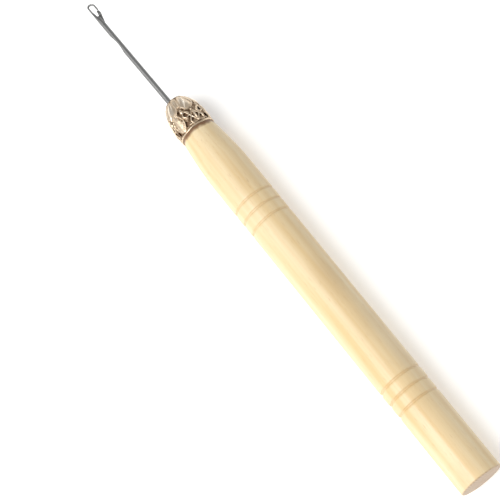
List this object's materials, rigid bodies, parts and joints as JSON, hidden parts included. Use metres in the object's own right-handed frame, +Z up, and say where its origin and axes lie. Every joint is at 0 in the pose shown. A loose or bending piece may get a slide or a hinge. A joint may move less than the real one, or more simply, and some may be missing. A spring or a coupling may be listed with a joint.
{
  "type": "latch crochet hook",
  "caption": "Crochet hook with a swinging latch on a thin steel needle, set in a turned wooden handle under a filigree metal cap.",
  "frame": {"origin": "on the floor that the hook lies on, under the middle of its whole length", "axes": "+X along the handle from its butt to the hook's tip, +Z up, the hook opens towards -Y"},
  "size_m": [0.165, 0.012, 0.012],
  "materials": {
    "beech": "sanded and clear-coated pale beech",
    "brass_filigree": "pressed brass with an antique rose-gold plating",
    "needle_steel": "drawn steel wire, satin",
    "latch_steel": "stamped steel, darker satin"
  },
  "bodies": {
    "tool": {"handle": "beech", "ferrule": "brass_filigree", "needle": "needle_steel", "latch_rivet": "latch_steel"},
    "latch_body": {"latch": "latch_steel"}
  },
  "joints": [
    {"name": "latch_swing", "type": "hinge", "parent": "tool", "child": "latch_body", "pos_m": [0.0748, 0.00134, 0.006], "axis": [0, 0, -1], "range_deg": [0, 146]}
  ]
}
